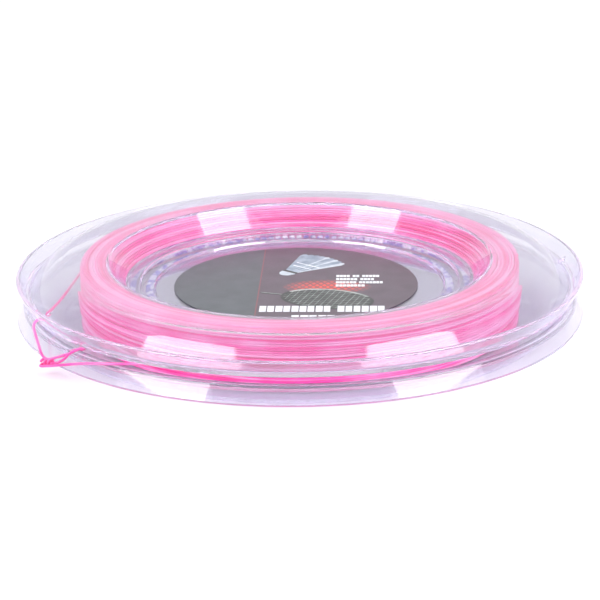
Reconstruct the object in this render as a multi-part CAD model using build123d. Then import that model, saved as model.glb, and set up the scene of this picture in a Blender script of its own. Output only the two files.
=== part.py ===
"""Reel of badminton racket string: two clear moulded shells, the string wound between them, and labels.

Millimetres, +Z up. The reel lies flat: the origin is at the middle of its underside, and +Z is the axis
that the string is wound about. Both shells come from one mould and meet face to face on the mid-plane.
"""

from build123d import *
import math
import os

# Overall size of the reel. The rim is drawn with a sharp corner that its rounding brings back to 75 mm.
rim_corner_radius = 75.22
reel_height = 17.8
mid_z = reel_height / 2
wall = 1.1

# Hub of one shell. Heights in this block and the next are measured from the mid-plane.
floor_thickness = 0.9
floor_radius = 38.2
inner_ring_radii = (38.6, 41.4)
inner_ring_heights = (1.6, 2.2)
hub_seat_radius = 42.2
ledge_height = 3.2
ledge_radius = 46.1
barrel_radius = 46.5
cone_top_radius = 50.6

# Flange of one shell: flat face, rounded shoulder, foot beside the slot, flared lip.
shoulder_start = 62.5
shoulder_radius = 7.0
shoulder_slope = 49.0
slot_half_width = 1.07
lip_foot_radius = 73.05
rim_height = 5.78
gutter_height = 2.3
edge_round = 0.45
corner_round = 0.8

# Tie holes through the foot of the lip. The angles are those that each hole is drilled at.
tie_hole_radius = 0.8
tie_hole_height = 2.35
upper_hole_angles = (204.7, 10.4)
lower_hole_angles = (217.2, 51.5)

# String and labels.
string_diameter = 0.7
winding_radius = 58.2
winding_clearance = 0.1
label_radius = 32.4
label_thickness = 0.15
label_offset = -1.0

# Loose end of the string: from the winding out through the upper tie hole, down to the knot, round the
# foot of the lower lip by way of its tie hole and the slot, back to the knot, and in through the slot.
# Each point is (x, y, height above the mid-plane).
tail_points = [
    (-57.93, 8.55, 3.0),
    (-62.96, -28.96, 2.4),
    (-68.3, -31.4, 2.3),
    (-66.5, -35.5, -2.0),
    (-64.6, -40.8, -5.3),
    (-59.9, -45.4, -2.45),
    (-55.12, -41.84, -2.3),
    (-52.7, -44.85, -0.1),
    (-56.9, -48.6, -0.1),
    (-58.9, -46.7, -2.9),
    (-61.3, -44.3, -4.9),
    (-64.0, -39.8, -6.0),
    (-65.5, -40.2, -6.5),
    (-65.4, -42.0, -6.4),
    (-54.45, -51.3, -2.3),
    (-49.2, -55.4, -0.95),
    (-43.8, -57.6, -0.35),
    (-2.0, -58.54, -0.4),
]
arc_share = 0.45


def shell_profile():
    """Cross-section of the upper shell in the XZ plane, standing on the mid-plane."""
    slope = math.radians(shoulder_slope)
    along = (math.cos(slope), -math.sin(slope))
    shoulder_centre = mid_z - shoulder_radius

    def on_shoulder(radius):
        return (shoulder_start + radius * math.sin(slope), shoulder_centre + radius * math.cos(slope))

    def down_to(point, height):
        return (point[0] + (point[1] - height) * along[0] / -along[1], height)

    outer_tangent = on_shoulder(shoulder_radius)
    inner_tangent = on_shoulder(shoulder_radius - wall)
    lip_run = rim_corner_radius - lip_foot_radius
    lip_rise = rim_height - slot_half_width
    lip_length = math.hypot(lip_run, lip_rise)
    lip_width = wall * lip_length / lip_rise

    def lip_inside(height):
        return lip_foot_radius + (height - slot_half_width) * lip_run / lip_rise - lip_width

    cone_run = cone_top_radius - ledge_radius
    cone_rise = mid_z - ledge_height
    cone_width = wall * math.hypot(cone_run, cone_rise) / cone_rise

    def cone_height(radius):
        return ledge_height + (radius - cone_width - ledge_radius) * cone_rise / cone_run

    under_face = mid_z - wall
    cone_under_radius = ledge_radius + cone_width + (under_face - ledge_height) * cone_run / cone_rise
    barrel_inside = barrel_radius - wall
    seat_inside = hub_seat_radius + wall
    seat_floor = inner_ring_heights[1]

    outside = [
        (0, floor_thickness),
        (floor_radius, floor_thickness),
        (inner_ring_radii[0], inner_ring_heights[0]),
        (inner_ring_radii[1], seat_floor),
        (hub_seat_radius, seat_floor),
        (hub_seat_radius, ledge_height),
        (ledge_radius, ledge_height),
        (cone_top_radius, mid_z),
        (shoulder_start, mid_z),
    ]
    gutter_and_lip = [
        outer_tangent,
        down_to(outer_tangent, gutter_height),
        (lip_inside(gutter_height), gutter_height),
        (lip_inside(rim_height), rim_height),
        (rim_corner_radius, rim_height),
        (lip_foot_radius, slot_half_width),
        down_to(inner_tangent, slot_half_width),
        inner_tangent,
    ]
    underside = [
        (shoulder_start, under_face),
        (cone_under_radius, under_face),
        (barrel_radius, cone_height(barrel_radius)),
        (barrel_radius, 0),
        (barrel_inside, 0),
        (barrel_inside, ledge_height - wall),
        (seat_inside, ledge_height - wall),
        (seat_inside, seat_floor - wall),
        (inner_ring_radii[1], seat_floor - wall),
        (inner_ring_radii[0] + wall / 2, inner_ring_heights[0] - wall),
        (inner_ring_radii[0] + wall / 2, 0),
        (0, 0),
        (0, floor_thickness),
    ]

    def lines(points):
        return [Line(xz(a), xz(b)) for a, b in zip(points, points[1:])]

    def arc(start, end, radius):
        half = slope / 2
        middle = (shoulder_start + radius * math.sin(half), shoulder_centre + radius * math.cos(half))
        return ThreePointArc(xz(start), xz(middle), xz(end))

    edges = lines(outside)
    edges.append(arc(outside[-1], outer_tangent, shoulder_radius))
    edges += lines(gutter_and_lip)
    edges.append(arc(inner_tangent, underside[0], shoulder_radius - wall))
    edges += lines(underside)
    face = make_face(edges)

    sharp = [(lip_inside(rim_height), rim_height), (rim_corner_radius, rim_height), (lip_foot_radius, slot_half_width)]
    soft = [gutter_and_lip[1], gutter_and_lip[2], (cone_top_radius, mid_z)]
    face = round_corners(face, sharp, edge_round)
    return round_corners(face, soft, corner_round)


def xz(point):
    return (point[0], 0, point[1])


def round_corners(face, corners, radius):
    near = [min(face.vertices(), key=lambda v: (v.center() - Vector(*xz(c))).length) for c in corners]
    return fillet(near, radius)


def tie_hole(angle):
    """Drill that runs outwards through the foot of the lip at the given angle."""
    inner = shoulder_start
    length = rim_corner_radius - inner
    return Rot(0, 0, angle) * Pos(inner + length / 2, 0, tie_hole_height) * Rot(0, 90, 0) * Cylinder(
        tie_hole_radius, length
    )


def shell(hole_angles):
    """One moulded shell, standing on the mid-plane with its tie holes at the given angles."""
    body = revolve(shell_profile(), Axis.Z)
    for angle in hole_angles:
        body -= tie_hole(angle)
    return body


def winding():
    """All the wound string as one ring that fills the hub, with a small gap to the shells."""
    gap = winding_clearance
    cone_run = cone_top_radius - ledge_radius
    cone_rise = mid_z - ledge_height
    cone_width = wall * math.hypot(cone_run, cone_rise) / cone_rise
    core = barrel_radius + gap
    core_height = ledge_height + (barrel_radius - cone_width - ledge_radius) * cone_rise / cone_run
    top = mid_z - wall - gap
    top_radius = core + (top - core_height) * cone_run / cone_rise
    corners = [
        (core, -core_height),
        (core, core_height),
        (top_radius, top),
        (winding_radius, top),
        (winding_radius, -top),
        (top_radius, -top),
    ]
    face = make_face([Line(xz(a), xz(b)) for a, b in zip(corners, corners[1:] + corners[:1])])
    return revolve(face, Axis.Z)


def tail():
    """The loose end as a round tube of straight runs joined by tangent arcs."""
    points = [Vector(*p) for p in tail_points]
    runs = [(b - a) for a, b in zip(points, points[1:])]
    radii = []
    for before, after in zip(runs, runs[1:]):
        half_turn = math.radians(before.get_angle(after)) / 2
        radii.append(arc_share * min(before.length, after.length) / math.tan(half_turn))
    path = FilletPolyline(*points, radius=radii)
    section = Plane(origin=points[0], z_dir=runs[0]) * Circle(string_diameter / 2)
    tube = sweep(section, path)
    area = math.pi * string_diameter**2 / 4
    print("tail radii", [round(r, 2) for r in radii])
    print("tail length", round(path.length, 2), "volume over section x length", tube.volume / (area * path.length))
    return tube


def label():
    """Printed disc stuck to the floor of the hub, a little off centre."""
    height = floor_thickness + label_thickness / 2
    return Pos(label_offset, 0, height) * Cylinder(label_radius, label_thickness)


lift = Pos(0, 0, mid_z)
turn_over = Rot(180, 0, 0)

nodes = {
    "upper_shell": lift * shell(upper_hole_angles),
    "lower_shell": lift * turn_over * shell([-angle for angle in lower_hole_angles]),
    "string_winding": lift * winding(),
    "string_tail": lift * tail(),
    "upper_label": lift * label(),
    "lower_label": lift * turn_over * label(),
}

os.makedirs("parts", exist_ok=True)
for name, solid in nodes.items():
    solid.label = name
    export_step(solid, f"parts/{name}.step")
    box = solid.bounding_box()
    print(name, "from", box.min, "to", box.max)
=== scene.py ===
import math
import random

import bmesh
import bpy
from mathutils import Matrix, Vector


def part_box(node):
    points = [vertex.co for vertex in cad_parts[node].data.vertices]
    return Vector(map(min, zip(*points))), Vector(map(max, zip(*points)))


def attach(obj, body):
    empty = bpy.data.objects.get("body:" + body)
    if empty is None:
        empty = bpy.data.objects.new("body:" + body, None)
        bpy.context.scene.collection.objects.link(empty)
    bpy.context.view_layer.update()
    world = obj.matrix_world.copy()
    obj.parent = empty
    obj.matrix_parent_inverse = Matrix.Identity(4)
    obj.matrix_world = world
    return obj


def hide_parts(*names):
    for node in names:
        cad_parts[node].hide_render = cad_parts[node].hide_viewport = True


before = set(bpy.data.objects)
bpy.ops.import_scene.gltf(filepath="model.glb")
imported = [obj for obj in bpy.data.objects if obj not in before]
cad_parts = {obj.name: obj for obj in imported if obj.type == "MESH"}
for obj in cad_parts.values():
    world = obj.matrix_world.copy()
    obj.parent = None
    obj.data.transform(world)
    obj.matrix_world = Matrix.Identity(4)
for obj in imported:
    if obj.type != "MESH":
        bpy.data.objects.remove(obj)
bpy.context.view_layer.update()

mm = 0.001

# --- Core of the winding ------------------------------------------------------------------------
# The string that lies deeper than the turns that show, as one closed ring. It is wound straight
# onto the barrels and cones of the two shells, which hold it.

winding_low, winding_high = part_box("string_winding")
mid_z = (winding_low.z + winding_high.z) / 2
winding_radius = winding_high.x
face_height = winding_high.z - mid_z
barrel_radius = 46.6 * mm
barrel_height = 1.93 * mm
face_inner_radius = 51.15 * mm
string_diameter = 0.7 * mm
core_depth = 0.62 * mm
crease_angle = math.radians(32)


def link_piece(name, mesh):
    """A new object for the mesh, at the origin."""
    piece = bpy.data.objects.new(name, mesh)
    bpy.context.scene.collection.objects.link(piece)
    return piece


def smooth_shaded(mesh):
    """Smooth shading, with sharp edges where faces meet at more than the crease angle."""
    mesh.shade_smooth()
    mesh.set_sharp_from_angle(angle=crease_angle)


def lathe(name, outline, steps=360, closed=True, rise=0.0):
    """Mesh of an outline of (radius, height) points turned once round the Z axis."""
    same_place = 1e-7
    shape = bmesh.new()
    verts = [shape.verts.new((radius, 0, height + rise)) for radius, height in outline]
    pairs = list(zip(verts, verts[1:]))
    if closed:
        pairs.append((verts[-1], verts[0]))
    edges = [shape.edges.new(pair) for pair in pairs]
    bmesh.ops.spin(
        shape,
        geom=verts + edges,
        axis=(0, 0, 1),
        cent=(0, 0, 0),
        angle=math.tau,
        steps=steps,
        use_merge=True,
    )
    bmesh.ops.remove_doubles(shape, verts=shape.verts, dist=same_place)
    bmesh.ops.recalc_face_normals(shape, faces=shape.faces)
    mesh = bpy.data.meshes.new(name)
    shape.to_mesh(mesh)
    shape.free()
    smooth_shaded(mesh)
    return mesh


def put(tree, kind, settings=None, inputs=None):
    """A new node: settings are its properties, and inputs are values or sockets for its inputs."""
    node = tree.nodes.new(kind)
    for key, value in (settings or {}).items():
        setattr(node, key, value)
    for key, value in (inputs or {}).items():
        if isinstance(value, bpy.types.NodeSocket):
            tree.links.new(value, node.inputs[key])
        else:
            node.inputs[key].default_value = value
    return node


def maths(tree, operation, a, b=0.0, c=0.0):
    """The result of a sum on up to three values or sockets."""
    return put(tree, "ShaderNodeMath", {"operation": operation}, {0: a, 1: b, 2: c}).outputs[0]


def noise(tree, place, scale, detail):
    """Soft random variation over the place, between 0 and 1."""
    node = put(tree, "ShaderNodeTexNoise", inputs={"Vector": place, "Scale": scale, "Detail": detail})
    return node.outputs["Fac"]


def spread(tree, value, low, high):
    """The value, from between 0 and 1, brought between low and high."""
    node = put(tree, "ShaderNodeMapRange", inputs={"Value": value, "To Min": low, "To Max": high})
    return node.outputs["Result"]


def bumps(tree, height, strength, distance):
    """The surface direction over small bumps of the given height."""
    node = put(tree, "ShaderNodeBump", inputs={"Height": height, "Strength": strength, "Distance": distance})
    return node.outputs["Normal"]


def ramp(tree, factor, stops):
    """Colour ramp over the factor, from (position, colour) stops."""
    node = put(tree, "ShaderNodeValToRGB", inputs={"Fac": factor})
    while len(node.color_ramp.elements) < len(stops):
        node.color_ramp.elements.new(0.5)
    for element, (position, colour) in zip(node.color_ramp.elements, stops):
        element.position = position
        element.color = (*colour, 1.0)
    return node.outputs["Color"]


def new_material(name):
    """An empty node material and its tree."""
    material = bpy.data.materials.new(name)
    material.use_nodes = True
    material.node_tree.nodes.clear()
    return material, material.node_tree


def place_on_object(tree):
    """The place on the object, which sits at the origin, in metres."""
    return put(tree, "ShaderNodeTexCoord").outputs["Object"]


def surface(tree, shader):
    """Gives the material the shader's look."""
    put(tree, "ShaderNodeOutputMaterial", inputs={"Surface": shader.outputs[0]})


def string_material():
    """Glossy pink nylon. Each turn has its own strength of pink: partly the dye, partly painted sheen and
    painted shade from how it lies.
    """
    material, tree = new_material("pink_nylon")
    place = place_on_object(tree)
    turn = put(tree, "ShaderNodeAttribute", {"attribute_name": "turn"}).outputs["Fac"]
    per_turn = put(
        tree, "ShaderNodeTexNoise", {"noise_dimensions": "1D"}, {"W": turn, "Scale": 1.9, "Detail": 4.0}
    )
    patch_share = 0.35
    patches = noise(tree, place, scale=90.0, detail=2.0)
    shade = maths(tree, "MULTIPLY_ADD", patches, patch_share, per_turn.outputs["Fac"])
    # Lighter turns are painted sheen and darker ones painted shade between turns, mixed with the dye's own
    # variation.
    dye_and_painted_sheen = [(0.48, (0.86, 0.022, 0.25)), (0.63, (0.92, 0.065, 0.37)), (0.80, (0.96, 0.36, 0.63))]
    grain = noise(tree, place, scale=2600.0, detail=2.0)
    nylon = put(
        tree,
        "ShaderNodeBsdfPrincipled",
        inputs={
            "Base Color": ramp(tree, shade, dye_and_painted_sheen),
            "Roughness": spread(tree, grain, low=0.24, high=0.42),
            "Normal": bumps(tree, grain, strength=0.15, distance=0.05 * mm),
        },
    )
    surface(tree, nylon)
    return material


pink_nylon = string_material()

core_inside = barrel_radius + core_depth
core_outside = winding_radius - core_depth
core_face_inside = face_inner_radius + core_depth
core_face_height = face_height - core_depth
core_outline = [
    (core_inside, -barrel_height),
    (core_inside, barrel_height),
    (core_face_inside, core_face_height),
    (core_outside, core_face_height),
    (core_outside, -core_face_height),
    (core_face_inside, -core_face_height),
]
winding_core = link_piece("string_winding_core", lathe("string_winding_core", core_outline, rise=mid_z))
winding_core.data.materials.append(pink_nylon)
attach(winding_core, "root")
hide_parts("string_winding")

# --- Turns of string that show ------------------------------------------------------------------
# The outermost turns of 0.7 mm string: round the outside, over both faces, and against the clear
# cones and barrel of the hub. Under them and between them other turns cross at a small angle, as a
# winding machine lays them.

string_radius = string_diameter / 2
string_sides = 6
points_per_turn = 120


def new_tree(name, sockets):
    """A geometry nodes tree with the named inputs, and the sockets that hold their values."""
    tree = bpy.data.node_groups.new(name, "GeometryNodeTree")
    for socket_name, kind in sockets.items():
        tree.interface.new_socket(socket_name, in_out="INPUT", socket_type=f"NodeSocket{kind}")
    tree.interface.new_socket("Geometry", in_out="OUTPUT", socket_type="NodeSocketGeometry")
    return tree, tree.nodes.new("NodeGroupInput").outputs


def end_tree(tree, geometry, material):
    """Ends the tree: the geometry made real, in the material."""
    real = put(tree, "GeometryNodeRealizeInstances", inputs={"Geometry": geometry})
    painted = put(
        tree, "GeometryNodeSetMaterial", inputs={"Geometry": real.outputs["Geometry"], "Material": material}
    )
    put(tree, "NodeGroupOutput", inputs={"Geometry": painted.outputs["Geometry"]})


def wound_turns_tree():
    """Geometry nodes: string laid in a spiral round the Z axis, with some wander from turn to turn."""
    tree, given = new_tree(
        "wound_turns",
        {
            "Start Radius": "Float",
            "End Radius": "Float",
            "Start Height": "Float",
            "Rise": "Float",
            "Turns": "Float",
            "Points per Turn": "Int",
            "Reverse": "Bool",
            "String Radius": "Float",
            "Radial Wander": "Float",
            "Axial Wander": "Float",
            "Seed": "Float",
            "Material": "Material",
        },
    )
    spiral = put(
        tree,
        "GeometryNodeCurveSpiral",
        inputs={
            "Resolution": given["Points per Turn"],
            "Rotations": given["Turns"],
            "Start Radius": given["Start Radius"],
            "End Radius": given["End Radius"],
            "Height": given["Rise"],
            "Reverse": given["Reverse"],
        },
    )
    index = tree.nodes.new("GeometryNodeInputIndex").outputs["Index"]
    turn = maths(tree, "DIVIDE", index, given["Points per Turn"])

    def wander(amount, waves, shift):
        """A slow drift with some waves a turn, by about the amount to each side."""
        middle = 0.5
        swing = 4.0
        along = maths(tree, "MULTIPLY_ADD", turn, waves, maths(tree, "ADD", given["Seed"], shift))
        drift = put(
            tree, "ShaderNodeTexNoise", {"noise_dimensions": "1D"}, {"W": along, "Scale": 1.0, "Detail": 1.0}
        )
        centred = maths(tree, "SUBTRACT", drift.outputs["Fac"], middle)
        return maths(tree, "MULTIPLY", centred, maths(tree, "MULTIPLY", amount, swing))

    def vector_maths(operation, inputs):
        """The result of a sum on vectors."""
        return put(tree, "ShaderNodeVectorMath", {"operation": operation}, inputs).outputs[0]

    radial = wander(given["Radial Wander"], waves=2.3, shift=0.0)
    axial = wander(given["Axial Wander"], waves=1.7, shift=50.0)
    place = tree.nodes.new("GeometryNodeInputPosition").outputs["Position"]
    outward = vector_maths("NORMALIZE", {0: vector_maths("MULTIPLY", {0: place, 1: (1.0, 1.0, 0.0)})})
    sideways = vector_maths("SCALE", {0: outward, "Scale": radial})
    upward = put(tree, "ShaderNodeCombineXYZ", inputs={"Z": maths(tree, "ADD", axial, given["Start Height"])})
    shift = vector_maths("ADD", {0: sideways, 1: upward.outputs[0]})
    marked = put(
        tree,
        "GeometryNodeStoreNamedAttribute",
        {"data_type": "FLOAT", "domain": "POINT"},
        {
            "Geometry": spiral.outputs["Curve"],
            "Name": "turn",
            "Value": maths(tree, "ADD", turn, given["Seed"]),
        },
    )
    laid = put(
        tree, "GeometryNodeSetPosition", inputs={"Geometry": marked.outputs["Geometry"], "Offset": shift}
    )
    section = put(
        tree,
        "GeometryNodeCurvePrimitiveCircle",
        inputs={"Resolution": string_sides, "Radius": given["String Radius"]},
    )
    tube = put(
        tree,
        "GeometryNodeCurveToMesh",
        inputs={
            "Curve": laid.outputs["Geometry"],
            "Profile Curve": section.outputs["Curve"],
            "Fill Caps": True,
        },
    )
    smooth = put(tree, "GeometryNodeSetShadeSmooth", inputs={"Geometry": tube.outputs["Mesh"]})
    end_tree(tree, smooth.outputs["Geometry"], given["Material"])
    return tree


def grow(name, tree, values):
    """The plain mesh that a geometry nodes tree makes from the named values."""
    holder = link_piece(name, bpy.data.meshes.new(name))
    modifier = holder.modifiers.new("nodes", "NODES")
    modifier.node_group = tree
    for socket in tree.interface.items_tree:
        if socket.in_out == "INPUT" and socket.name in values:
            modifier[socket.identifier] = values[socket.name]
    evaluated = holder.evaluated_get(bpy.context.evaluated_depsgraph_get())
    mesh = bpy.data.meshes.new_from_object(evaluated)
    holder.modifiers.remove(modifier)
    bpy.data.objects.remove(holder)
    mesh.name = name
    return mesh


def joined(name, meshes):
    """One object from several meshes of the same material."""
    shape = bmesh.new()
    for mesh in meshes:
        shape.from_mesh(mesh)
    whole = meshes[0].copy()
    whole.name = name
    shape.to_mesh(whole)
    shape.free()
    return link_piece(name, whole)


turns_tree = wound_turns_tree()
seeds = iter(range(11, 400, 17))


def turns(start, end, count, radial, axial, reverse=False):
    """Turns of string from one (radius, height) to another, with the given wander each way."""
    values = {
        "Start Radius": start[0],
        "End Radius": end[0],
        "Start Height": mid_z + start[1],
        "Rise": end[1] - start[1],
        "Turns": float(count),
        "Points per Turn": points_per_turn,
        "Reverse": reverse,
        "String Radius": string_radius,
        "Radial Wander": radial,
        "Axial Wander": axial,
        "Seed": float(next(seeds)),
        "Material": pink_nylon,
    }
    return grow("turns", turns_tree, values)


clearance = 0.1 * mm
outside = winding_radius - string_radius - clearance
outside_crossing = outside - 0.1 * mm
outside_between = outside - 0.05 * mm
edge = face_height - string_radius - clearance
near_edge = edge * 0.9
face_inside = face_inner_radius + string_radius
barrel = barrel_radius + string_radius + clearance
lift_off = 0.2 * mm

string_groups = {
    "string_outer_turns": [
        turns((outside, -edge), (outside, edge), count=21, radial=0.05 * mm, axial=0.16 * mm),
        turns(
            (outside_crossing, edge),
            (outside_crossing, -edge),
            count=9,
            radial=0.12 * mm,
            axial=0.6 * mm,
            reverse=True,
        ),
        turns(
            (outside_between, -near_edge),
            (outside_between, near_edge),
            count=6,
            radial=0.12 * mm,
            axial=0.7 * mm,
        ),
    ],
    "string_hub_turns": [
        turns((barrel, -barrel_height), (barrel, barrel_height), count=6, radial=0.04 * mm, axial=0.1 * mm),
        turns((barrel, barrel_height), (face_inside, edge), count=10, radial=0.04 * mm, axial=0.05 * mm),
        turns((barrel, -barrel_height), (face_inside, -edge), count=10, radial=0.04 * mm, axial=0.05 * mm),
        turns(
            (barrel + lift_off, barrel_height),
            (face_inside + lift_off, edge),
            count=4,
            radial=0.12 * mm,
            axial=0.15 * mm,
            reverse=True,
        ),
    ],
}
for name, side in (("string_upper_turns", 1), ("string_lower_turns", -1)):
    inner_end = (face_inside, edge * side)
    outer_end = (outside, edge * side)
    string_groups[name] = [
        turns(inner_end, outer_end, count=10, radial=0.14 * mm, axial=0.04 * mm),
        turns(outer_end, inner_end, count=4, radial=0.5 * mm, axial=0.06 * mm, reverse=True),
        turns(inner_end, outer_end, count=3, radial=0.5 * mm, axial=0.06 * mm),
    ]

for name, meshes in string_groups.items():
    piece = joined(name, meshes)
    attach(piece, "root")
    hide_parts("string_winding")

# --- Clear shells -------------------------------------------------------------------------------
# Two mouldings of clear, slightly violet polystyrene from one mould, laid face to face: hub floor,
# stepped rings, cone, flat flange, rounded shoulder and flared lip. The lip's foot is drilled with
# two small holes for tying the string off.

wall = 1.1 * mm
shell_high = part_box("upper_shell")[1]
rim_height = 5.78 * mm
rim_corner_radius = 75.22 * mm
flat_height = shell_high.z - mid_z
slot_half_width = 1.07 * mm
gutter_height = 2.3 * mm
floor_height = 0.9 * mm
ledge_height = 3.2 * mm
ledge_radius = 46.1 * mm
cone_top_radius = 50.6 * mm
shoulder_start = 62.5 * mm
shoulder_radius = 7.0 * mm
shoulder_slope = math.radians(49)
shell_barrel_radius = 46.5 * mm
hub_seat_radius = 42.2 * mm
ring_radii = (38.6 * mm, 41.4 * mm)
ring_heights = (1.6 * mm, 2.2 * mm)
ring_foot_run = 0.4 * mm
lip_foot_radius = 73.05 * mm
contact_gap = 0.02 * mm
shell_steps = 320
hole_radius = 0.8 * mm
hole_height = 2.35 * mm
upper_hole_angles = (204.7, 10.4)
lower_hole_angles = (217.2, 51.5)


def rounded(corners, step=math.radians(4)):
    """Outline of (radius, height) points from corners of (radius, height, rounding)."""
    fewest_steps = 3
    outline = []
    for i, (x, y, rounding) in enumerate(corners):
        if not rounding:
            outline.append((x, y))
            continue
        corner = Vector((x, y))
        before = (Vector(corners[i - 1][:2]) - corner).normalized()
        after = (Vector(corners[(i + 1) % len(corners)][:2]) - corner).normalized()
        half = before.angle(after) / 2
        reach = rounding / math.tan(half)
        centre = corner + (before + after).normalized() * rounding / math.sin(half)
        start = corner + before * reach - centre
        turn = math.pi - 2 * half
        steps = max(fewest_steps, round(turn / step))
        if start.angle_signed(corner + after * reach - centre) > 0:
            turn = -turn
        for k in range(steps + 1):
            arm = start.copy()
            arm.rotate(Matrix.Rotation(turn * k / steps, 2))
            outline.append(tuple(centre + arm))
    return outline


def shell_outline():
    """Cross-section of the upper shell on the mid-plane: outwards over the top, and back below."""
    under = flat_height - wall
    tangent = math.tan(shoulder_slope)
    shoulder_reach = shoulder_radius * math.tan(shoulder_slope / 2)
    shoulder_corner = shoulder_start + shoulder_reach
    under_radius = shoulder_radius - wall
    under_corner = shoulder_start + under_radius * math.tan(shoulder_slope / 2)
    lip_run = rim_corner_radius - lip_foot_radius
    lip_rise = rim_height - slot_half_width
    lip_width = wall * math.hypot(lip_run, lip_rise) / lip_rise

    def lip_inside(height):
        return lip_foot_radius + (height - slot_half_width) * lip_run / lip_rise - lip_width

    cone_run = cone_top_radius - ledge_radius
    cone_rise = flat_height - ledge_height
    cone_width = wall * math.hypot(cone_run, cone_rise) / cone_rise
    cone_under = ledge_radius + cone_width + (under - ledge_height) * cone_run / cone_rise
    barrel_top = ledge_height + (shell_barrel_radius - cone_width - ledge_radius) * cone_rise / cone_run
    small = 0.2 * mm
    edge_round = 0.45 * mm
    corner_round = 0.8 * mm
    return rounded(
        [
            (ring_radii[0] - ring_foot_run, floor_height, small),
            (ring_radii[0], ring_heights[0], small),
            (ring_radii[1], ring_heights[1], 0.0),
            (hub_seat_radius, ring_heights[1], small),
            (hub_seat_radius, ledge_height, small),
            (ledge_radius, ledge_height, small),
            (cone_top_radius, flat_height, corner_round),
            (shoulder_corner, flat_height, shoulder_radius),
            (shoulder_corner + (flat_height - gutter_height) / tangent, gutter_height, corner_round),
            (lip_inside(gutter_height), gutter_height, corner_round),
            (lip_inside(rim_height), rim_height, edge_round),
            (rim_corner_radius, rim_height, edge_round),
            (lip_foot_radius, slot_half_width, edge_round),
            (under_corner + (under - slot_half_width) / tangent, slot_half_width, small),
            (under_corner, under, under_radius),
            (cone_under, under, small),
            (shell_barrel_radius, barrel_top, small),
            (shell_barrel_radius, contact_gap, 0.0),
            (shell_barrel_radius - wall, contact_gap, 0.0),
            (shell_barrel_radius - wall, ledge_height - wall, small),
            (hub_seat_radius + wall, ledge_height - wall, 0.0),
            (hub_seat_radius + wall, ring_heights[1] - wall, 0.0),
            (ring_radii[1], ring_heights[1] - wall, 0.0),
            (ring_radii[0] + wall / 2, ring_heights[0] - wall, 0.0),
            (ring_radii[0] + wall / 2, contact_gap, 0.0),
        ]
    )


def mixed(tree, share, first, second):
    """The first shader with a share of the second."""
    return put(tree, "ShaderNodeMixShader", inputs={0: share, 1: first.outputs[0], 2: second.outputs[0]})


def lamps_shine_through(tree, body, colour):
    """The body's shader, which lets light straight from a lamp through in the given colour."""
    open_glass = put(tree, "ShaderNodeBsdfTransparent", inputs={"Color": (*colour, 1.0)})
    to_lamp = put(tree, "ShaderNodeLightPath").outputs["Is Shadow Ray"]
    return mixed(tree, to_lamp, body, open_glass)


def clear_plastic():
    """Clear moulded plastic: it bends the light, is a little milky, and goes violet edge on. Its grey tint is
    partly painted shade.
    """
    material, tree = new_material("clear_polystyrene")
    place = place_on_object(tree)
    waves = noise(tree, place, scale=38.0, detail=2.0)
    edge_on = put(tree, "ShaderNodeLayerWeight", inputs={"Blend": 0.5}).outputs["Facing"]
    # The grey of this tint is painted shade: it darkens all that shows through the walls, for the dim floor
    # under the reel. The violet edge on is the plastic's own.
    violet_tint_and_painted_shade = [(0.0, (0.77, 0.75, 0.81)), (0.7, (0.76, 0.775, 0.825)), (1.0, (0.64, 0.60, 0.90))]
    glass = put(
        tree,
        "ShaderNodeBsdfPrincipled",
        inputs={
            "Base Color": ramp(tree, edge_on, violet_tint_and_painted_shade),
            "Roughness": 0.04,
            "IOR": 1.52,
            "Transmission Weight": 1.0,
            "Normal": bumps(tree, waves, strength=0.12, distance=0.4 * mm),
        },
    )
    cloudy = put(tree, "ShaderNodeBsdfDiffuse", inputs={"Color": (0.86, 0.83, 0.93, 1.0)})
    glowing = put(tree, "ShaderNodeBsdfTranslucent", inputs={"Color": (0.90, 0.86, 0.97, 1.0)})
    milky = mixed(tree, share=0.5, first=cloudy, second=glowing)
    # Light that is still inside the walls after this many turns of its path is taken as scattered,
    # so that thick edges glow softly and don't go black.
    longest_clear_path = 8.0
    path = put(tree, "ShaderNodeLightPath")
    far_inside = maths(tree, "GREATER_THAN", path.outputs["Ray Depth"], longest_clear_path)
    milkiness = maths(tree, "MAXIMUM", spread(tree, waves, low=0.03, high=0.06), far_inside)
    body = mixed(tree, milkiness, glass, milky)
    surface(tree, lamps_shine_through(tree, body, (0.86, 0.85, 0.88)))
    return material


def drilled(mesh, angles):
    """The shell's mesh with a tie hole drilled outwards through the foot of its lip at each angle."""
    drill_sides = 32
    drill_length = 10 * mm
    drill_centre = (71 * mm, 0, hole_height)
    shell = link_piece("shell", mesh)
    for angle in angles:
        drill = bmesh.new()
        bmesh.ops.create_cone(
            drill,
            cap_ends=True,
            segments=drill_sides,
            radius1=hole_radius,
            radius2=hole_radius,
            depth=drill_length,
        )
        turn = Matrix.Rotation(math.radians(angle), 4, "Z")
        drill.transform(turn @ Matrix.Translation(drill_centre) @ Matrix.Rotation(math.pi / 2, 4, "Y"))
        drill_mesh = bpy.data.meshes.new("drill")
        drill.to_mesh(drill_mesh)
        drill.free()
        tool = link_piece("drill", drill_mesh)
        cut = shell.modifiers.new("cut", "BOOLEAN")
        cut.object = tool
        cut.solver = "EXACT"
        evaluated = shell.evaluated_get(bpy.context.evaluated_depsgraph_get())
        new_mesh = bpy.data.meshes.new_from_object(evaluated)
        shell.modifiers.remove(cut)
        shell.data = new_mesh
        bpy.data.objects.remove(tool)
    mesh = shell.data
    bpy.data.objects.remove(shell)
    smooth_shaded(mesh)
    return mesh


clear_polystyrene = clear_plastic()
outline = [(0.0, floor_height), *shell_outline(), (0.0, contact_gap)]
turn_over = Matrix.Rotation(math.pi, 4, "X")
lift = Matrix.Translation((0, 0, mid_z))

upper_mesh = drilled(lathe("upper_clear_shell", outline, shell_steps, closed=False), upper_hole_angles)
upper_mesh.transform(lift)
turned_over_angles = [-angle for angle in lower_hole_angles]
lower_mesh = drilled(lathe("lower_clear_shell", outline, shell_steps, closed=False), turned_over_angles)
lower_mesh.transform(lift @ turn_over)

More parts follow.
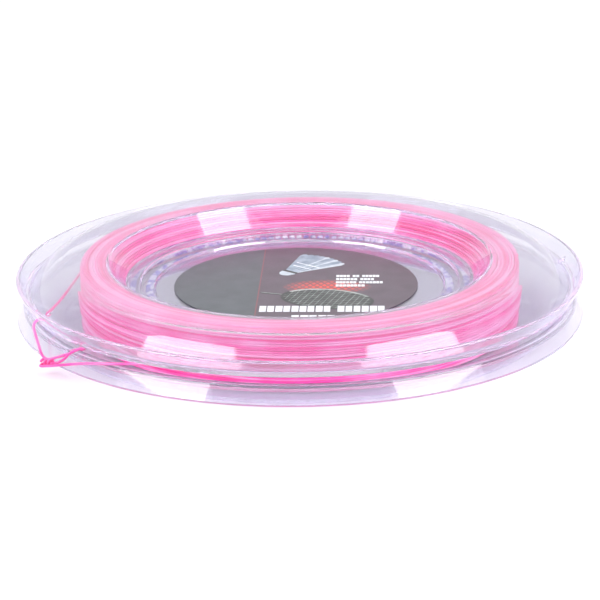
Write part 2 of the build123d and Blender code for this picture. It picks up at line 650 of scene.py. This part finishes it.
for name, mesh, node in (
    ("upper_clear_shell", upper_mesh, "upper_shell"),
    ("lower_clear_shell", lower_mesh, "lower_shell"),
):
    mesh.materials.clear()
    mesh.materials.append(clear_polystyrene)
    piece = link_piece(name, mesh)
    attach(piece, "root")
    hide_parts(node)

# --- Knurled rings of the hub -------------------------------------------------------------------
# Each shell has two rings of small slanted ribs, moulded with it, on the ledge and on the sloping
# step inside it. They give a grip when the reel is turned by hand, and their glints are partly painted.

step_ribs = 126
ledge_ribs = 140
rib_slant = 0.6
rib_size = (2.6 * mm, 0.95 * mm, 1.1 * mm)
ledge_inset = 1.2 * mm


def knurled_ring_tree():
    """Geometry nodes: small rounded ribs set side by side round the Z axis, each turned by a slant."""
    tree, given = new_tree(
        "knurled_ring",
        {
            "Count": "Int",
            "Ring Radius": "Float",
            "Height": "Float",
            "Rib Size": "Vector",
            "Slant": "Float",
            "Tilt": "Float",
            "Material": "Material",
        },
    )
    circle = put(
        tree, "GeometryNodeMeshCircle", inputs={"Vertices": given["Count"], "Radius": given["Ring Radius"]}
    )
    rib = put(tree, "GeometryNodeMeshUVSphere", inputs={"Segments": 8, "Rings": 5, "Radius": 0.5})
    rounded_rib = put(tree, "GeometryNodeSetShadeSmooth", inputs={"Geometry": rib.outputs["Mesh"]})
    position = tree.nodes.new("GeometryNodeInputPosition").outputs["Position"]
    place = put(tree, "ShaderNodeSeparateXYZ", inputs={0: position})
    round_angle = maths(tree, "ARCTAN2", place.outputs["Y"], place.outputs["X"])
    heading = maths(tree, "ADD", round_angle, given["Slant"])
    turn = put(tree, "ShaderNodeCombineXYZ", inputs={"Y": given["Tilt"], "Z": heading})
    ribs = put(
        tree,
        "GeometryNodeInstanceOnPoints",
        inputs={
            "Points": circle.outputs["Mesh"],
            "Instance": rounded_rib.outputs["Geometry"],
            "Rotation": turn.outputs[0],
            "Scale": given["Rib Size"],
        },
    )
    up = put(tree, "ShaderNodeCombineXYZ", inputs={"Z": given["Height"]})
    raised = put(
        tree,
        "GeometryNodeTranslateInstances",
        inputs={"Instances": ribs.outputs["Instances"], "Translation": up.outputs[0]},
    )
    end_tree(tree, raised.outputs["Instances"], given["Material"])
    return tree


def glint_painted_plastic():
    """The same clear plastic in small ribs, which bend the light; their colour has painted glints in white
    and painted shade in violet.
    """
    material, tree = new_material("knurled_polystyrene")
    # White spots in the ribs' colour are painted glints, and dark violet ones are painted shade.
    painted_glint_spots = noise(tree, place_on_object(tree), scale=480.0, detail=1.0)
    glass = put(
        tree,
        "ShaderNodeBsdfPrincipled",
        inputs={
            "Base Color": ramp(tree, painted_glint_spots, [(0.47, (0.20, 0.12, 0.58)), (0.53, (0.98, 0.96, 1.0))]),
            "Roughness": 0.08,
            "IOR": 1.5,
            "Transmission Weight": 0.55,
        },
    )
    surface(tree, lamps_shine_through(tree, glass, (0.88, 0.87, 0.90)))
    return material


ring_tree = knurled_ring_tree()
knurled_polystyrene = glint_painted_plastic()
step_middle = (ring_radii[0] + ring_radii[1]) / 2
step_height = (ring_heights[0] + ring_heights[1]) / 2
step_tilt = math.atan2(ring_heights[1] - ring_heights[0], ring_radii[1] - ring_radii[0])
ledge_middle = (hub_seat_radius + ledge_inset + ledge_radius) / 2
rings = {
    "step": {
        "Count": step_ribs,
        "Ring Radius": step_middle,
        "Height": step_height,
        "Tilt": -step_tilt,
        "Slant": rib_slant,
    },
    "ledge": {
        "Count": ledge_ribs,
        "Ring Radius": ledge_middle,
        "Height": ledge_height,
        "Tilt": 0.0,
        "Slant": -rib_slant,
    },
}
for side, placing in (("upper", lift), ("lower", lift @ turn_over)):
    for ring, values in rings.items():
        name = f"{side}_{ring}_ribs"
        mesh = grow(name, ring_tree, {**values, "Rib Size": rib_size, "Material": knurled_polystyrene})
        mesh.transform(placing)
        piece = link_piece(name, mesh)
        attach(piece, "root")

# --- Labels -------------------------------------------------------------------------------------
# A laminated paper disc stuck on the floor of each hub: a grey panel, a thin red line, and a dark
# picture panel with a shuttlecock and a racket over a glowing net. Rows of plain blocks stand where
# a label has its words. Places on the print are in millimetres from the disc's middle.

label_radius = 32.4 * mm
label_top = floor_height + 0.15 * mm
label_under = floor_height + contact_gap / 2
label_offset = -1.0 * mm
label_rounding = 0.05 * mm
label_steps = 180
map_unit = 100.0
art_turn = math.radians(-2.3)
divide = -9.6
divide_half_width = 0.17
ink_thickness = 0.02 * mm
layer_step = 0.3
WHITE, PALE, SHADE, DARK, GLEAM = range(5)


def label_paper():
    """Laminated print. The label's own map gives the place on it, in units of 100 mm."""
    material, tree = new_material("laminated_label")
    flat = put(tree, "ShaderNodeUVMap", {"uv_map": "label"})
    art = put(
        tree,
        "ShaderNodeMapping",
        inputs={
            "Vector": flat.outputs[0],
            "Scale": (map_unit, map_unit, 1.0),
            "Rotation": (0.0, 0.0, -art_turn),
        },
    ).outputs[0]
    across, up = put(tree, "ShaderNodeSeparateXYZ", inputs={0: art}).outputs[:2]
    panel = maths(tree, "GREATER_THAN", across, divide)
    line = maths(tree, "COMPARE", across, divide, divide_half_width)

    def from_middle(place, middle, reach):
        """How far the place is from the glow's middle, squared, where its edge is 1."""
        share = maths(tree, "DIVIDE", maths(tree, "SUBTRACT", place, middle), reach)
        return maths(tree, "POWER", share, 2.0)

    def slanted_lines(slope, spacing):
        """Distance from the nearest line of one direction of the net."""
        return maths(tree, "PINGPONG", maths(tree, "MULTIPLY_ADD", up, slope, across), spacing)

    def over(below, share, colour):
        """A share of the colour printed over what is below."""
        node = put(tree, "ShaderNodeMix", {"data_type": "RGBA"}, {0: share, 6: below, 7: colour})
        return node.outputs[2]

    wide = from_middle(across, middle=8.3, reach=12.0)
    tall = from_middle(up, middle=-2.8, reach=6.2)
    glow = maths(tree, "SUBTRACT", 1.0, maths(tree, "ADD", wide, tall))
    glow = maths(tree, "MULTIPLY", maths(tree, "MAXIMUM", glow, 0.0), panel)
    net_slope = 0.62
    net_spacing = 0.95
    net_line = 0.3
    lines = maths(
        tree, "MINIMUM", slanted_lines(net_slope, net_spacing), slanted_lines(-net_slope, net_spacing)
    )
    gaps = maths(tree, "GREATER_THAN", lines, net_line)
    netted = maths(tree, "MULTIPLY", glow, maths(tree, "MULTIPLY_ADD", gaps, 0.75, 0.25))
    cloud = noise(tree, art, scale=0.16, detail=4.0)
    grey = ramp(tree, cloud, [(0.3, (0.066, 0.078, 0.090)), (0.7, (0.092, 0.106, 0.120))])
    wine = ramp(tree, cloud, [(0.3, (0.082, 0.060, 0.080)), (0.7, (0.110, 0.084, 0.110))])
    colour = over(grey, panel, wine)
    colour = over(colour, netted, (0.78, 0.08, 0.05, 1.0))
    colour = over(colour, line, (0.21, 0.07, 0.085, 1.0))
    fibres = noise(tree, art, scale=2.2, detail=3.0)
    paper = put(
        tree,
        "ShaderNodeBsdfPrincipled",
        inputs={
            "Base Color": colour,
            "Roughness": spread(tree, fibres, low=0.26, high=0.40),
            "Normal": bumps(tree, fibres, strength=0.1, distance=0.05 * mm),
        },
    )
    surface(tree, paper)
    return material


def ink(name, dark, light):
    """Printing ink with the slight unevenness of a printed tint, under the same lamination."""
    material, tree = new_material(name)
    mottle = noise(tree, place_on_object(tree), scale=420.0, detail=3.0)
    colour = ramp(tree, mottle, [(0.35, dark), (0.65, light)])
    surface(tree, put(tree, "ShaderNodeBsdfPrincipled", inputs={"Base Color": colour, "Roughness": 0.35}))
    return material


def slab(shape, outline, ink_index, layer=0):
    """Adds a flat printed shape to the mesh, from its outline on the print."""
    low = label_top
    high = label_top + ink_thickness * (1 + layer_step * layer)
    points = [Matrix.Rotation(art_turn, 2) @ Vector(point) * mm for point in outline]
    bottom = [shape.verts.new((x + label_offset, y, low)) for x, y in points]
    top = [shape.verts.new((x + label_offset, y, high)) for x, y in points]
    faces = [shape.faces.new(top), shape.faces.new(bottom[::-1])]
    for i in range(len(points)):
        j = (i + 1) % len(points)
        faces.append(shape.faces.new((bottom[i], bottom[j], top[j], top[i])))
    for face in faces:
        face.material_index = ink_index


def direction(degrees):
    """The direction at an angle on the print."""
    return Vector((math.cos(math.radians(degrees)), math.sin(math.radians(degrees))))


def arc_outline(centre, radii, start, end, turn, steps):
    """Points along part of an ellipse, in degrees, turned by some degrees about its centre."""
    points = []
    for k in range(steps + 1):
        angle = math.radians(start + (end - start) * k / steps)
        point = Vector((radii[0] * math.cos(angle), radii[1] * math.sin(angle)))
        point.rotate(Matrix.Rotation(math.radians(turn), 2))
        points.append((centre[0] + point.x, centre[1] + point.y))
    return points


def shuttlecock(shape):
    """A plain feather shuttlecock: cork, overlapping feathers in a fan, and two thread bands."""
    cork = Vector((-3.0, 8.9))
    lean = 52
    along = direction(lean)
    across = Vector((along.y, -along.x))
    feathers = 9
    quill_start = 2.4
    longest = 18.2
    fan_curve = 1.6
    shaded_side = -0.4

    def at(distance, side):
        return tuple(cork + along * distance + across * side)

    for k in list(range(0, feathers, 2)) + list(range(1, feathers, 2)):
        side = 2 * k / (feathers - 1) - 1
        tip = longest - fan_curve * side * side
        blade = [
            at(quill_start, 1.7 * side - 0.4),
            at(quill_start, 1.7 * side + 0.4),
            at(tip - 2.0, 6.2 * side + 1.15),
            at(tip - 0.5, 6.5 * side + 0.8),
            at(tip, 6.6 * side),
            at(tip - 0.5, 6.5 * side - 0.8),
            at(tip - 2.0, 6.2 * side - 1.15),
        ]
        slab(shape, blade, SHADE if k % 2 or side < shaded_side else PALE, layer=1 + k % 2)
    thread = 0.5
    for distance, half in ((6.5, 3.1), (9.0, 4.0)):
        end = distance + thread
        slab(shape, [at(distance, -half), at(distance, half), at(end, half), at(end, -half)], WHITE, layer=3)
    cork_top = 1.2
    tape = [at(cork_top, -2.3), at(cork_top, 2.3), at(quill_start, 2.2), at(quill_start, -2.2)]
    slab(shape, tape, DARK, layer=3)
    slab(shape, arc_outline(at(cork_top, 0), (2.3, 3.0), 0, 180, turn=lean + 90, steps=16), PALE, layer=3)


def racket(shape):
    """A plain racket below the shuttlecock: strung oval head, and a shaft that leaves the picture."""
    middle = Vector((8.6, -13.0))
    turn = -17
    half_length = 12.6
    half_width = 8.0
    frame_width = 0.8
    inside_length = half_length - frame_width
    inside_width = half_width - frame_width
    sides = 48
    gleam_from, gleam_to = 4, 21
    cross_strings = 7
    long_strings = 4
    string_gap = 1.5
    string_half_width = 0.06
    shaft_end = 18.4
    outer = arc_outline(middle, (half_length, half_width), 0, 360, turn, sides)[:-1]
    inner = arc_outline(middle, (inside_length, inside_width), 0, 360, turn, sides)[:-1]
    slab(shape, outer, DARK)
    for i in range(sides):
        j = (i + 1) % sides
        colour = GLEAM if gleam_from < i < gleam_to else DARK
        slab(shape, [outer[i], outer[j], inner[j], inner[i]], colour, layer=1)
    axis = direction(turn)
    side = Vector((-axis.y, axis.x))

    def bar(start, end, half, colour, layer):
        along = (end - start).normalized()
        edge = Vector((-along.y, along.x)) * half
        slab(shape, [start - edge, end - edge, end + edge, start + edge], colour, layer)

    for k in range(-cross_strings, cross_strings + 1):
        reach = inside_width * math.sqrt(1 - (k * string_gap / half_length) ** 2)
        place = middle + axis * k * string_gap
        bar(place - side * reach, place + side * reach, string_half_width, GLEAM, layer=0.4)
    for k in range(-long_strings, long_strings + 1):
        reach = inside_length * math.sqrt(1 - (k * string_gap / half_width) ** 2)
        place = middle + side * k * string_gap
        bar(place - axis * reach, place + axis * reach, string_half_width, GLEAM, layer=0.7)
    throat = middle - axis * half_length
    butt = middle - axis * shaft_end
    highlight = side * 0.15
    bar(throat, butt, 0.45, DARK, layer=1)
    bar(throat + highlight, butt + highlight, 0.14, GLEAM, layer=2)


def word_blocks(shape, left, right, low, high, words, seed):
    """A row of plain white blocks, grouped like words, in place of a line of text."""
    word_gap = 0.7
    narrowest, widest = 0.80, 0.92
    widths = random.Random(seed)
    pitch = (right - left) / (sum(words) + word_gap * (len(words) - 1))
    start = left
    for word in words:
        for _ in range(word):
            end = start + pitch * widths.uniform(narrowest, widest)
            slab(shape, [(start, low), (end, low), (end, high), (start, high)], WHITE, layer=4)
            start += pitch
        start += pitch * word_gap


def label_print():
    """Everything printed on a label beside its ground, as one mesh on the upper label."""
    shape = bmesh.new()
    shuttlecock(shape)
    racket(shape)
    first_row = 7.3
    row_step = 2.75
    row_height = 1.7
    row_left = 10.6
    for row, (right, words) in enumerate([(22.2, [4, 2, 5]), (20.9, [6, 4]), (23.2, [6, 7]), (18.4, [8])]):
        high = first_row - row_step * row
        word_blocks(shape, row_left, right, high - row_height, high, words, seed=row)
    word_blocks(shape, -8.7, 24.0, -23.6, -18.9, words=[9, 6], seed=7)
    word_blocks(shape, -0.2, 11.3, -30.6, -26.4, words=[5], seed=8)
    mesh = bpy.data.meshes.new("label_print")
    shape.to_mesh(mesh)
    shape.free()
    return mesh


laminated_label = label_paper()
inks = [
    ink("white_ink", (0.72, 0.76, 0.80), (0.86, 0.88, 0.90)),
    ink("pale_ink", (0.46, 0.52, 0.58), (0.62, 0.68, 0.74)),
    ink("shade_ink", (0.20, 0.26, 0.34), (0.36, 0.43, 0.51)),
    ink("dark_ink", (0.012, 0.018, 0.016), (0.040, 0.050, 0.046)),
    ink("gleam_ink", (0.24, 0.28, 0.26), (0.48, 0.52, 0.50)),
]
disc_outline = rounded(
    [
        (0.0, label_under, 0.0),
        (label_radius, label_under, 0.0),
        (label_radius, label_top, label_rounding),
        (0.0, label_top, 0.0),
    ]
)
for side, placing in (("upper", lift), ("lower", lift @ turn_over)):
    disc = lathe(f"{side}_label_disc", disc_outline, steps=label_steps, closed=False)
    flat_map = disc.uv_layers.new(name="label")
    for loop in disc.loops:
        place = disc.vertices[loop.vertex_index].co
        flat_map.data[loop.index].uv = (place.x / (map_unit * mm), place.y / (map_unit * mm))
    disc.transform(Matrix.Translation((label_offset, 0, 0)))
    disc.transform(placing)
    disc.materials.append(laminated_label)
    print_mesh = label_print()
    for colour in inks:
        print_mesh.materials.append(colour)
    print_mesh.transform(placing)
    for name, mesh in ((f"{side}_label_disc", disc), (f"{side}_label_print", print_mesh)):
        piece = link_piece(name, mesh)
        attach(piece, "root")
        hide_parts(f"{side}_label")

# --- Loose end of the string --------------------------------------------------------------------
# The end of the string leaves the winding through the upper shell's tie hole, drops over the slot to
# a knot, loops round the foot of the lower lip by way of its own tie hole, and runs back through the
# slot to lie against the winding. Its route is in millimetres, with heights from the mid-plane.

tail_points = [
    (-57.93, 8.55, 3.0),
    (-62.96, -28.96, 2.4),
    (-68.3, -31.4, 2.3),
    (-66.5, -35.5, -2.0),
    (-64.6, -40.8, -5.3),
    (-59.9, -45.4, -2.45),
    (-55.12, -41.84, -2.3),
    (-52.7, -44.85, -0.1),
    (-56.9, -48.6, -0.1),
    (-58.9, -46.7, -2.9),
    (-61.3, -44.3, -4.9),
    (-64.0, -39.8, -6.0),
    (-65.5, -40.2, -6.5),
    (-65.4, -42.0, -6.4),
    (-54.45, -51.3, -2.3),
    (-49.2, -55.4, -0.95),
    (-43.8, -57.6, -0.35),
    (-2.0, -58.54, -0.4),
]
knot_start = Vector((-64.9, -40.1, -5.6)) * mm
knot_end = Vector((-61.9, -43.5, -4.75)) * mm
knot_wraps = 3
knot_radius = 0.62 * mm
points_per_wrap = 8


def string_curve(name, points):
    """A smooth length of string along the points."""
    curve = bpy.data.curves.new(name, "CURVE")
    curve.dimensions = "3D"
    curve.bevel_depth = string_radius
    curve.bevel_resolution = 3
    curve.use_fill_caps = True
    spline = curve.splines.new("NURBS")
    spline.points.add(len(points) - 1)
    for point, place in zip(spline.points, points):
        point.co = (*place, 1.0)
    spline.order_u = 3
    spline.use_endpoint_u = True
    spline.resolution_u = 10
    curve.materials.append(pink_nylon)
    return link_piece(name, curve)


tail_route = [(x * mm, y * mm, mid_z + z * mm) for x, y, z in tail_points]
tail = string_curve("string_loose_end", tail_route)

knot_axis = (knot_end - knot_start).normalized()
knot_side = knot_axis.cross(Vector((0, 0, 1))).normalized()
knot_up = knot_side.cross(knot_axis)
knot_steps = knot_wraps * points_per_wrap
knot_route = []
for k in range(knot_steps + 1):
    angle = k * math.tau / points_per_wrap
    place = knot_start.lerp(knot_end, k / knot_steps)
    place += (knot_side * math.cos(angle) + knot_up * math.sin(angle)) * knot_radius
    knot_route.append((place.x, place.y, place.z + mid_z))
knot = string_curve("string_knot", knot_route)

for piece in (tail, knot):
    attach(piece, "root")
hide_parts("string_tail")

# --- Studio -------------------------------------------------------------------------------------
# White table and backdrop, and a camera. Two large soft boxes hang in front, to the left and right.
# Each has a second one just behind it that adds only to the gloss.

table_half_size = 6.0
table_gap = 0.05 * mm
table_corners = ((-1, -1), (1, -1), (1, 1), (-1, 1))
table_mesh = bpy.data.meshes.new("table")
table_mesh.from_pydata(
    [(x * table_half_size, y * table_half_size, -table_gap) for x, y in table_corners],
    [],
    [(0, 1, 2, 3)],
)
table = link_piece("table", table_mesh)
table_paint, table_tree = new_material("table_white")
paint = {"Base Color": (0.86, 0.86, 0.87, 1.0), "Roughness": 0.9}
surface(table_tree, put(table_tree, "ShaderNodeBsdfPrincipled", inputs=paint))
table_mesh.materials.append(table_paint)

world = bpy.data.worlds.new("studio")
bpy.context.scene.world = world
world.use_nodes = True
world_tree = world.node_tree
world_tree.nodes.clear()
look = put(world_tree, "ShaderNodeTexCoord").outputs["Generated"]
look_height = put(world_tree, "ShaderNodeSeparateXYZ", inputs={"Vector": look}).outputs["Z"]
walls = [
    (0.0, (1.0, 1.0, 1.0)),
    (0.5, (0.96, 0.95, 0.97)),
    (0.7, (0.76, 0.75, 0.79)),
    (1.0, (0.72, 0.71, 0.76)),
]
sky = ramp(world_tree, look_height, walls)
background = put(world_tree, "ShaderNodeBackground", inputs={"Color": sky, "Strength": 1.0})
put(world_tree, "ShaderNodeOutputWorld", inputs={"Surface": background.outputs["Background"]})

box_distance = 1.3
box_width = 0.90
box_height = 0.95
box_azimuth = math.radians(58)
box_elevation = math.radians(40)
box_power = 9.8
gleam_power = 14.0
gleam_gap = 0.03
for power, distance, lights_colour in (
    (box_power, box_distance, True),
    (gleam_power, box_distance + gleam_gap, False),
):
    for side in (-1, 1):
        lamp = bpy.data.lights.new("soft_box", "AREA")
        lamp.shape = "RECTANGLE"
        lamp.size = box_width
        lamp.size_y = box_height
        lamp.energy = power
        toward = Vector(
            (
                side * math.sin(box_azimuth) * math.cos(box_elevation),
                -math.cos(box_azimuth) * math.cos(box_elevation),
                math.sin(box_elevation),
            )
        )
        soft_box = bpy.data.objects.new("soft_box", lamp)
        soft_box.location = toward * distance
        soft_box.visible_diffuse = lights_colour
        soft_box.visible_transmission = lights_colour
        soft_box.rotation_euler = toward.to_track_quat("Z", "Y").to_euler()
        bpy.context.scene.collection.objects.link(soft_box)

camera_data = bpy.data.cameras.new("camera")
camera_data.lens = 146.4
camera_data.sensor_width = 36.0
camera = bpy.data.objects.new("camera", camera_data)
camera_distance = 0.650
camera_height_angle = math.radians(18.02)
camera_pitch = math.radians(18.32)
camera_roll = math.radians(-0.79)
camera.location = (
    0,
    -camera_distance * math.cos(camera_height_angle),
    mid_z + camera_distance * math.sin(camera_height_angle),
)
aim = Matrix.Rotation(math.pi / 2 - camera_pitch, 4, "X") @ Matrix.Rotation(camera_roll, 4, "Z")
camera.rotation_euler = aim.to_euler()
bpy.context.scene.collection.objects.link(camera)
bpy.context.scene.camera = camera
bpy.context.scene.view_settings.view_transform = "Standard"

# Light runs far inside the clear walls before it comes out.
cycles = bpy.context.scene.cycles
cycles.max_bounces = 40
cycles.transmission_bounces = 40
cycles.glossy_bounces = 24
cycles.transparent_max_bounces = 40
